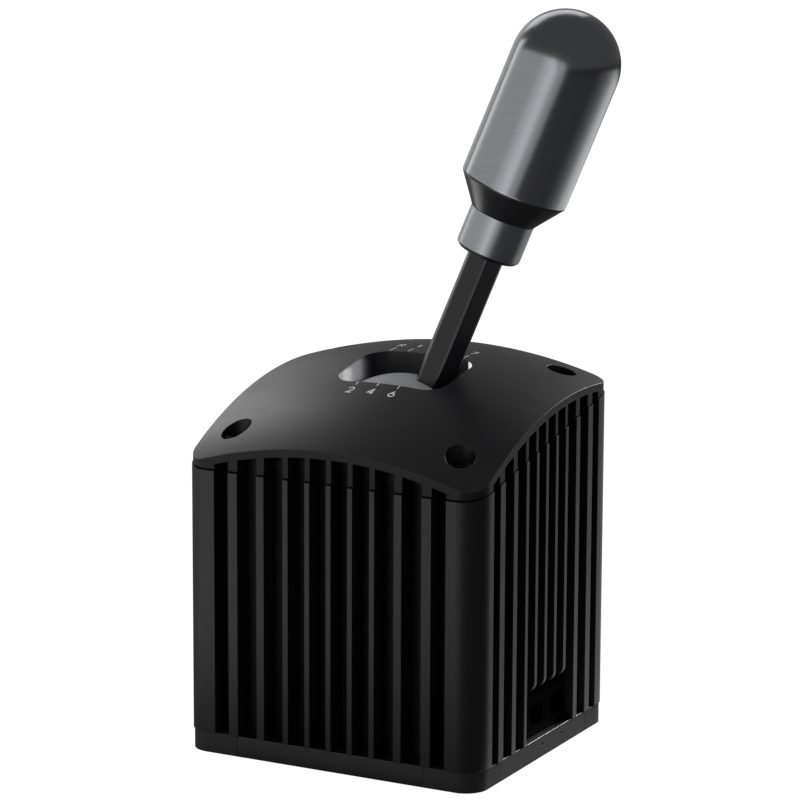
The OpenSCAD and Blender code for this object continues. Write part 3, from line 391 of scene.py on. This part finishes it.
# %% Round a profile and turn it
def rounded(corners, radii, steps=6):
    """Polyline whose inner corners become arcs: tangent points r * tan(turn / 2) from each corner."""
    corners = np.asarray(corners, float)
    points = [corners[:1]]
    for before, corner, after, r in zip(corners[:-2], corners[1:-1], corners[2:], radii):
        a = (before - corner) / np.linalg.norm(before - corner)
        b = (after - corner) / np.linalg.norm(after - corner)
        half = math.acos(np.clip(a @ b, -1, 1)) / 2
        centre = corner + (a + b) / np.linalg.norm(a + b) * r / math.sin(half)
        start = corner + a * r / math.tan(half) - centre
        end = corner + b * r / math.tan(half) - centre
        t = np.linspace(0, 1, steps)[:, None]
        swing = math.pi - 2 * half
        points.append(centre + (np.sin((1 - t) * swing) * start + np.sin(t * swing) * end) / math.sin(swing))
    points.append(corners[-1:])
    return np.concatenate(points)


def lathe(profile, turns=160):
    """Surface of revolution about the lever: pivot + h * up + r * (cos a * right + sin a * back)."""
    radius, height = np.asarray(profile).T
    angle = np.linspace(0, 2 * math.pi, turns, endpoint=False)
    spoke = np.cos(angle)[:, None] * lever_right + np.sin(angle)[:, None] * lever_back
    points = pivot + height[:, None, None] * lever_up + radius[:, None, None] * spoke[None]
    row = np.arange(len(radius) - 1)[:, None] * turns
    col = np.arange(turns)[None]
    nxt = (col + 1) % turns
    faces = np.stack([row + col, row + nxt, row + turns + nxt, row + turns + col], -1).reshape(-1, 4)
    return points.reshape(-1, 3), faces.tolist()


print("a rounded corner has", len(rounded([(0, 0), (1, 0), (1, 1)], [0.2])) - 2, "points")

# %% Make a piece from points and faces
SHARP_TURN = math.radians(40)
WELD = 1e-7


def new_piece(name, points, faces, finish, body, slot):
    """A mesh object at the origin, smooth shaded except at its sharp edges, that rides on a body."""
    mesh = bpy.data.meshes.new(name)
    mesh.from_pydata(points, [], faces)
    closed = bmesh.new()
    closed.from_mesh(mesh)
    bmesh.ops.remove_doubles(closed, verts=closed.verts, dist=WELD)
    bmesh.ops.recalc_face_normals(closed, faces=closed.faces)
    closed.to_mesh(mesh)
    closed.free()
    mesh.shade_smooth()
    mesh.set_sharp_from_angle(angle=SHARP_TURN)
    mesh.materials.append(finish)
    piece = bpy.data.objects.new(name, mesh)
    bpy.context.scene.collection.objects.link(piece)
    piece.modifiers.new("let the large faces lead", "WEIGHTED_NORMAL").keep_sharp = True
    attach(piece, body)
    return piece


print("edges stay sharp from", round(math.degrees(SHARP_TURN)), "degrees")

# %% [markdown]
# ## Knob
# The grip is a capsule turned from solid bar: a straight side with a half ball on top. A cylinder and a
# sphere could be joined, but one profile turned as a single surface leaves no seam where a reflection
# could break.

# %% Knob
knob_low, knob_high, knob_r = lever_reach("knob_body")
SEAM_ROUND = 0.4 * MM
dome_angle = np.linspace(0, math.pi / 2, 48)
dome_foot = knob_high - knob_r
knob_side = rounded([(0, knob_low), (knob_r, knob_low), (knob_r, dome_foot)], [SEAM_ROUND])
knob_dome = np.stack([knob_r * np.cos(dome_angle), dome_foot + knob_r * np.sin(dome_angle)], 1)
knob_profile = np.concatenate([knob_side, knob_dome[1:]])
knob = new_piece("knob_grip", *lathe(knob_profile), knob_metal, "lever", "knob_gunmetal")
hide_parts("knob_body")
print("knob radius in mm:", round(knob_r / MM, 2), "points on its profile:", len(knob_profile))

# %% [markdown]
# ## Taper
# Under the grip a polished cone narrows to the collar. Its upper rim stands straight for half a
# millimetre and is rounded, so that it draws a thin line below the grip. It is turned like the knob,
# because a plain cone would end in a hard edge there.

# %% Taper
taper_low, taper_high, taper_r = lever_reach("knob_base")
collar_low, collar_high, collar_r = lever_reach("knob_collar")
TAPER_LIP = 0.5 * MM
TAPER_STEP = 0.1 * MM
TAPER_ROUNDS = (0.3 * MM, 0.3 * MM, 0.15 * MM)
taper_profile = rounded([(0, taper_low), (collar_r + TAPER_STEP, taper_low),
                         (taper_r, taper_high - TAPER_LIP), (taper_r, taper_high), (0, taper_high)],
                        TAPER_ROUNDS)
taper = new_piece("knob_taper", *lathe(taper_profile), taper_gloss, "lever", "knob_gloss_black")
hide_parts("knob_base")
print("taper radius in mm:", round((collar_r + TAPER_STEP) / MM, 2), "to", round(taper_r / MM, 2))

# %% [markdown]
# ## Collar
# The collar is a short turned ring that holds the rod under the taper. Its lower edge has a wide
# chamfer. A Bevel modifier on the solid would round the chamfer's two edges alike, and the profile
# gives each its own round.

# %% Collar
COLLAR_CHAMFER = 1.3 * MM
COLLAR_ROUNDS = (0.5 * MM, 0.8 * MM, 0.35 * MM)
collar_profile = rounded([(0, collar_low), (collar_r - COLLAR_CHAMFER, collar_low),
                          (collar_r, collar_low + COLLAR_CHAMFER), (collar_r, collar_high),
                          (0, collar_high)], COLLAR_ROUNDS)
collar = new_piece("lever_collar", *lathe(collar_profile), collar_metal, "lever", "collar_gunmetal")
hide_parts("knob_collar")
print("collar radius in mm:", round(collar_r / MM, 2))

# %% [markdown]
# ## The hexagonal rod
# The rod is drawn bar with rounded corners. A hexagon with arcs at its corners is carried along the
# lever up into the collar. The solid's own hexagon has sharp corners, which would show no highlight at
# all.

# %% Hexagonal rod
rod_low, _, rod_corner = lever_reach("lever_rod")
ROD_ROUND = 1.8 * MM
ROD_IN_COLLAR = 2 * MM
# one corner more at each end, so that all six become arcs
corner_turn = np.radians(60 * np.arange(-1, 7))
hexagon = rod_corner * np.stack([np.cos(corner_turn), np.sin(corner_turn)], 1)
hexagon = rounded(hexagon, [ROD_ROUND] * 6)[1:-1]
rod_ends = np.array([rod_low, collar_low + ROD_IN_COLLAR])
rod_points = (pivot + rod_ends[:, None, None] * lever_up
              + hexagon[None, :, :1] * lever_right + hexagon[None, :, 1:] * lever_back)
low_ring = np.arange(len(hexagon))
high_ring = low_ring + len(hexagon)
rod_sides = np.stack([low_ring, np.roll(low_ring, -1), np.roll(high_ring, -1), high_ring], 1)
rod_faces = rod_sides.tolist() + [low_ring[::-1].tolist(), high_ring.tolist()]
rod = new_piece("lever_bar", rod_points.reshape(-1, 3), rod_faces, rod_anodised, "lever", "rod_black")
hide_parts("lever_rod")
print("rod across corners in mm:", round(2 * rod_corner / MM, 2), "sides:", len(hexagon))

# %% [markdown]
# ## The printed gear pattern
# White ticks and numbers sit round the slot: one tick for each gear, on the far and the near side. Ink
# could be a texture, but a thin strip of real thickness keeps its sharp edge at any distance. Every
# stroke is a path on the cover's dome, widened into a ribbon.

# %% Strokes of the numbers
def line(*corners):
    """Straight strokes through the corners."""
    return np.array(corners, float)


def arc(x, y, r, start, end, steps=14):
    """Points on a circle of radius r about (x, y), from one angle to the other in degrees."""
    a = np.radians(np.linspace(start, end, steps))
    return np.stack([x + r * np.cos(a), y + r * np.sin(a)], 1)


# numbers are drawn one unit high
DIGIT_W = 0.62
STROKES = {
    "1": [line((0.14, 0.78), (0.36, 1), (0.36, 0))],
    "2": [np.concatenate([arc(0.31, 0.70, 0.30, 170, -35), line((0.0, 0.0), (DIGIT_W, 0.0))])],
    "3": [np.concatenate([arc(0.3, 0.76, 0.24, 150, -80), arc(0.3, 0.26, 0.26, 80, -150)])],
    "4": [line((0.46, 0), (0.46, 1), (0.0, 0.28), (DIGIT_W, 0.28))],
    "5": [np.concatenate([line((0.58, 1), (0.1, 1), (0.06, 0.55)), arc(0.29, 0.32, 0.32, 125, -150)])],
    "6": [np.concatenate([line((0.44, 1)), arc(0.31, 0.31, 0.31, 160, 520, 26)])],
    "7": [line((0.0, 1), (DIGIT_W, 1), (0.2, 0))],
    "R": [np.concatenate([line((0.06, 0), (0.06, 1), (0.36, 1)), arc(0.36, 0.75, 0.25, 90, -90),
                          line((0.06, 0.5))]), line((0.32, 0.5), (0.6, 0))],
}
print("strokes:", sum(len(strokes) for strokes in STROKES.values()))

# %% Ribbons on the dome
# the dome's two radii, and how far its crown lies behind the middle, as in the solid
DOME_ACROSS = 195 * MM
DOME_ALONG = 170 * MM
CROWN_BACK = 30 * MM
MITRE_LIMIT = 0.4
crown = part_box("top_cover")[1].z


def on_cover(x, y):
    """Height of the dome: an arc across the width, swung about an axis that lies under the crown."""
    swing = DOME_ALONG - DOME_ACROSS + np.sqrt(DOME_ACROSS ** 2 - x ** 2)
    return crown - DOME_ALONG + np.sqrt(swing ** 2 - (y - CROWN_BACK) ** 2)


def resampled(path, spacing):
    """The path with points at even spacing, so that a long stroke follows the dome."""
    run = np.concatenate([[0], np.cumsum(np.linalg.norm(np.diff(path, axis=0), axis=1))])
    at = np.linspace(0, run[-1], max(3, int(run[-1] / spacing)))
    at = np.unique(np.concatenate([at, run]))
    return np.stack([np.interp(at, run, path[:, 0]), np.interp(at, run, path[:, 1])], 1)


def ribbon(path, width):
    """Edges of a stroke, mitred: each point moves by (n1 + n2) / (1 + n1 . n2) of half a width."""
    step = np.diff(path, axis=0)
    normal = np.stack([-step[:, 1], step[:, 0]], 1) / np.linalg.norm(step, axis=1)[:, None]
    before = np.concatenate([normal[:1], normal])
    after = np.concatenate([normal, normal[-1:]])
    mitre = (before + after) / np.maximum(1 + (before * after).sum(1), MITRE_LIMIT)[:, None]
    return np.stack([path - mitre * width / 2, path + mitre * width / 2], 1)


print("crown of the cover in mm:", round(crown / MM, 2))

# %% Thickness of the ink
INK_LIFT = 0.02 * MM
INK_THICK = 0.05 * MM
INK_STEP = 0.35 * MM


def ink_strokes(strokes):
    """Points and quads of ribbons with a top and an underside: four points across each path point."""
    points, faces, start = [], [], 0
    for path, width in strokes:
        edge = ribbon(resampled(path, INK_STEP), width)
        z = on_cover(edge[..., 0], edge[..., 1])
        top = np.concatenate([edge, (z + INK_LIFT + INK_THICK)[..., None]], -1)
        low = np.concatenate([edge, (z + INK_LIFT)[..., None]], -1)
        points.append(np.concatenate([top, low[:, ::-1]], 1).reshape(-1, 3))
        i = start + 4 * np.arange(len(edge) - 1)[:, None]
        k = np.arange(4)
        n = (k + 1) % 4
        faces += np.stack([i + k, i + n, i + 4 + n, i + 4 + k], -1).reshape(-1, 4).tolist()
        last = start + 4 * (len(edge) - 1)
        faces += [[start + 3, start + 2, start + 1, start], [last, last + 1, last + 2, last + 3]]
        start += 4 * len(edge)
    return np.concatenate(points), faces


print("ink stands", round((INK_LIFT + INK_THICK) / MM, 2), "mm above the cover")

# %% Gear marks
DIGIT_HIGH = 3.6 * MM
DIGIT_STROKE = 0.52 * MM
TICK_STROKE = 0.4 * MM
NEAR_TICK = (-12.9 * MM, -15.1 * MM)
NEAR_DIGIT = -21 * MM
NEAR_GEARS = {"2": -10.4 * MM, "4": -1.9 * MM, "6": 6.6 * MM}
FAR_TICK = (21.3 * MM, 26 * MM)
FAR_DIGIT = 28.6 * MM
FAR_GEARS = {"R": -15.6 * MM, "1": -8 * MM, "3": -0.4 * MM, "5": 7.2 * MM, "7": 14.8 * MM}


def gear_mark(digit, x, tick, digit_y):
    """A tick in line with its lane, and the number beyond it."""
    corner = (x - DIGIT_W / 2 * DIGIT_HIGH, digit_y)
    strokes = [(stroke * DIGIT_HIGH + corner, DIGIT_STROKE) for stroke in STROKES[digit]]
    return [(line((x, tick[0]), (x, tick[1])), TICK_STROKE)] + strokes


far_marks = [gear_mark(digit, x, FAR_TICK, FAR_DIGIT) for digit, x in FAR_GEARS.items()]
near_marks = [gear_mark(digit, x, NEAR_TICK, NEAR_DIGIT) for digit, x in NEAR_GEARS.items()]
ink = ink_strokes(sum(far_marks + near_marks, []))
pattern = new_piece("gear_pattern_print", *ink, white_ink, "housing", "cover_black")
print("ink points:", len(pattern.data.vertices))

# %% [markdown]
# ## Studio
# The photo is a catalogue picture: white all round, with the object lit by large soft panels. The floor
# is a pale sheet of paper that looks white to the camera. The sky is white for the camera too, but dim
# for the light, so that the black stays black. A white room would light everything alike.

# %% Paper floor
FLOOR_HALF = 4.0
FLOOR_DROP = 0.2 * MM
FIBRE_MM = 2
quarters = np.array([(-1, -1), (1, -1), (1, 1), (-1, 1)])
floor_points = np.concatenate([quarters * FLOOR_HALF, np.full((4, 1), -FLOOR_DROP)], 1)
floor_mesh = bpy.data.meshes.new("floor")
floor_mesh.from_pydata(floor_points, [], [(0, 1, 2, 3)])
floor = bpy.data.objects.new("floor", floor_mesh)
bpy.context.scene.collection.objects.link(floor)

# matt paper: a plain pale ground with a trace of fibre, which glows for the camera alone
paper, tree, shader, place = new_finish("white_paper_sweep")
fibre = add_node(tree, "ShaderNodeTexNoise", values={"Scale": per_metre(FIBRE_MM), "Detail": 2},
                 links={"Vector": place})
pale = add_node(tree, "ShaderNodeMix", {"data_type": "RGBA"},
                {"A": linear("#8c8c8c"), "B": linear("#949494")}, {"Factor": fibre.outputs["Fac"]})
seen = add_node(tree, "ShaderNodeLightPath").outputs["Is Camera Ray"]
feed(tree, shader, {"Base Color": pale.outputs["Result"], "Emission Strength": seen})
shader.inputs["Roughness"].default_value = 0.9
shader.inputs["Emission Color"].default_value = (1, 1, 1, 1)
floor_mesh.materials.append(paper)
print("floor", FLOOR_HALF * 2, "m wide")

# %% White sky
SKY_LIGHT = 0.18
SKY_SEEN = 1.0
world = bpy.data.worlds.new("studio")
bpy.context.scene.world = world
world.use_nodes = True
world.node_tree.nodes.clear()
seen = add_node(world.node_tree, "ShaderNodeLightPath").outputs["Is Camera Ray"]
strength = add_node(world.node_tree, "ShaderNodeMapRange",
                    values={"To Min": SKY_LIGHT, "To Max": SKY_SEEN}, links={"Value": seen})
sky = add_node(world.node_tree, "ShaderNodeBackground", values={"Color": (1, 1, 1, 1)},
               links={"Strength": strength.outputs["Result"]})
add_node(world.node_tree, "ShaderNodeOutputWorld", links={"Surface": sky.outputs["Background"]})
bpy.context.scene.view_settings.view_transform = "Standard"
print("sky light", SKY_LIGHT, "seen as", SKY_SEEN)

# %% [markdown]
# ## Light panels
# A polished cylinder is a mirror that squeezes the whole room into a few stripes, so the stripes on the
# knob say where the photo's panels stood: a long wall on the left, white sheets on the table in front
# and at the right, and one panel behind. Each panel is described by its radiance, since that is what a
# mirror shows whatever the distance. A studio would use flags and small cards to keep a light off one
# piece and on another; light linking does the same here.

# %% Panel helper
def panel(name, turn, rise, distance, slide, height, size, glow, only=(), hub=(0, 0)):
    """A soft panel of even radiance: power = glow * pi * area.

    It faces the object from a turn off the camera's side and a rise, both in degrees. Its middle is at a
    plan distance from the hub, slid along its width, at a height, in metres. It may light some pieces only.
    """
    facing = VIEW_TURN + math.radians(turn)
    tilt = math.radians(rise)
    plan = Vector((math.sin(facing), -math.cos(facing), 0))
    across = Vector((math.cos(facing), math.sin(facing), 0))
    away = math.cos(tilt) * plan + math.sin(tilt) * Vector((0, 0, 1))
    middle = Vector((*hub, height)) + distance * plan + slide * across
    light = bpy.data.lights.new(name, "AREA")
    light.shape = "RECTANGLE"
    light.size, light.size_y = size
    light.energy = glow * math.pi * size[0] * size[1]
    lamp = bpy.data.objects.new(name, light)
    axes = Matrix((across, away.cross(across), away)).transposed()
    lamp.matrix_world = Matrix.Translation(middle) @ axes.to_4x4()
    lamp.visible_camera = False
    bpy.context.scene.collection.objects.link(lamp)
    if only:
        lit = bpy.data.collections.new(name + "_lights")
        for piece in only:
            lit.objects.link(piece)
        lamp.light_linking.receiver_collection = lit
    return lamp


# rises of a sheet that lies on the table and of one that hangs overhead
FACE_UP = -90
FACE_DOWN = 90
# turns of a panel that stands square to the front face and to the right face
FRONT_FACE = -math.degrees(VIEW_TURN)
RIGHT_FACE = FRONT_FACE + 90
print("the right face is turned", round(RIGHT_FACE, 2), "degrees from the camera")

# %% Walls and sheets round the lever
lever_pieces = [knob, collar, taper, rod]
WALL_TURN = -68
# in order: turn, rise, plan distance, slide, height, (width, depth), glow, pieces it lights, hub
panels = [
    # the left wall in parts: where they overlap, the nearer part adds its light to the one behind
    panel("left_wall", WALL_TURN, 0, 0.75, -0.14, 0.3, (1.38, 0.6), 0.88),
    panel("left_wall_front", WALL_TURN, 0, 0.75, 1.25, 0.3, (1.4, 0.6), 0.88, lever_pieces),
    panel("left_wall_rise", WALL_TURN, 0, 0.74, 0.615, 0.3, (0.6, 0.6), 0.4, lever_pieces),
    panel("left_wall_strip", WALL_TURN, 0, 0.73, 0.715, 0.3, (0.4, 0.6), 0.45, lever_pieces),
    panel("left_wall_end", WALL_TURN, 0, 0.74, -1.36, 0.45, (1.06, 0.9), 1.1),
    panel("left_wall_far_end", WALL_TURN, 0, 0.73, -1.51, 0.45, (0.76, 0.9), 1.2),
    # the panel behind, and the sheets on the table in front
    panel("back_left_panel", -157.5, 10, 1.2, 0, 0.45, (0.62, 0.85), 0.6),
    panel("front_sheet", 0, FACE_UP, 0.95, -0.35, 0.002, (0.7, 1.0), 0.85, lever_pieces),
    panel("front_sheet_strip", -27, FACE_UP, 0.85, 0, 0.003, (0.24, 0.9), 0.8, lever_pieces),
]
print("walls and front sheets:", len(panels))

# %% Sheets and cards under the lever
# the point of the table under about the middle of the knob
KNOB_MIDDLE = 140 * MM
under_knob = (pivot + KNOB_MIDDLE * lever_up)[:2].tolist()

# overlapping sheets, each starting a little further round, give the knob's right side its slow rise; they
# lie a little above one another, because a mirrored ray counts only one of two panels in the same plane
FAN = {70: 0.06, 80: 0.09, 90: 0.14, 100: 0.22, 110: 0.35, 119: 0.4}
FAN_LOW = 2 * MM
FAN_LIFT = 0.01 * MM
panels += [panel(f"right_sheet_{start}", start, FACE_UP, 0.85, 0.3, FAN_LOW + start * FAN_LIFT, (0.6, 1.3),
                 glow, [knob, rod], under_knob) for start, glow in FAN.items()]
# the point of the table under the place where the rod leaves the cover
under_rod = (20 * MM, 6 * MM)
panels += [
    panel("collar_sheet", 105, FACE_UP, 0.6, 0.3, 0.002, (0.6, 0.8), 0.5, [collar], under_knob),
    panel("front_right_sheet", 50, FACE_UP, 0.5, 0, 0.001, (0.9, 0.8), 0.035, [knob, collar], under_knob),
    # the rod's right flats, and thin lines along its edges
    panel("rod_sheet", 65, FACE_UP, 0.4, 0, 0.001, (0.5, 0.6), 0.12, [rod], under_knob),
    panel("rod_edge_card", -4, FACE_UP, 0.5, 0, 0.004, (0.2, 0.4), 3.4, [rod], under_rod),
    panel("rod_rim_card", 78, FACE_UP, 0.42, 0.2, 0.001, (0.4, 0.36), 2.0, [rod], under_knob),
    # the rounded seam of the knob, its crest, and the taper's left side
    panel("seam_card", -42, FACE_UP, 0.25, 0, 0.004, (0.3, 0.2), 5.0, [knob], under_knob),
    panel("knob_crest_panel", -174, 30, 0.9, 0, 0.88, (1.0, 0.44), 1.6, [knob]),
    panel("taper_card", -133, FACE_UP, 0.35, -0.008, 0.002, (0.13, 0.25), 2.0, [taper]),
]
print("knob stands over", in_mm(under_knob), "mm, panels round the lever:", len(panels))

# %% [markdown]
# ## Panels for the body
# The body is black and satin, so it shows only what it mirrors at a slant. Sheets on the table beside
# it light the flat ends of the fins, and a small bright panel far behind draws the thin lines on its
# edges. A stronger sky would show the fins as well, but it would grey the gaps between them.

# %% Panels for the body, the cover and its slot
housing = nodes["finned_housing"]
cover = nodes["top_cover"]
base = [nodes["base_plate"], nodes["corner_feet"]]
# place and size of the sheet at the right, and of the panel that draws the edges
RIGHT_PLACE = (124.6, FACE_UP, 0.352, 0.085)
RIGHT_SIZE = (0.33, 0.736)
GLINT_PLACE = (138, 27, 0.9, 0, 0.5)
GLINT_SIZE = (0.3, 0.3)
panels += [
    # sheets for the base lie lowest, because a sheet lights nothing below itself
    panel("right_face_sheet", *RIGHT_PLACE, 0.002, RIGHT_SIZE, 0.8, [housing]),
    panel("cover_face_sheet", *RIGHT_PLACE, 0.0024, RIGHT_SIZE, 0.35, [cover]),
    panel("front_face_sheet", -57, FACE_UP, 0.4, 0, 0.0005, (0.3, 0.5), 0.9, [housing, *base]),
    panel("base_front_sheet", FRONT_FACE, FACE_UP, 0.09, 0, 0.0006, (0.16, 0.06), 0.17, base),
    panel("underside_sheet", RIGHT_FACE, FACE_UP, 0.065, 0, 0.0001, (0.11, 0.02), 0.12, base),
    panel("base_face_sheet", *RIGHT_PLACE, 0.0003, RIGHT_SIZE, 0.2, base),
    panel("edge_glint_panel", *GLINT_PLACE, GLINT_SIZE, 20.0, [housing, cover]),
    panel("base_glint_panel", *GLINT_PLACE, GLINT_SIZE, 75.0, base),
    # the cover's left slope, then small cards inside the slot: two for its left end, one for a corner
    panel("cover_slope_panel", -153, 28, 1.1, 0, 0.78, (0.27, 0.7), 2.4, [cover]),
    panel("slot_end_card", RIGHT_FACE, 0, -0.0203, 0.0065, 0.1335, (0.016, 0.008), 2.2, [cover]),
    panel("slot_end_glow", RIGHT_FACE, 0, -0.0202, 0.0022, 0.1325, (0.0075, 0.006), 3.4, [cover]),
    panel("slot_corner_card", -145.4, 0, -0.0071, -0.0252, 0.1381, (0.0021, 0.0028), 8.0, [cover]),
    # the grey ball under the slot, and the white of the print
    panel("shield_panel", 0, 45, 0.8, 0, 0.9, (0.5, 0.5), 2.5, [nodes["dust_shield"]]),
    panel("ink_panel", 0, FACE_DOWN, 0, 0, 1.2, (1.0, 1.0), 2.2, [pattern]),
]
print("panels in all:", len(panels))
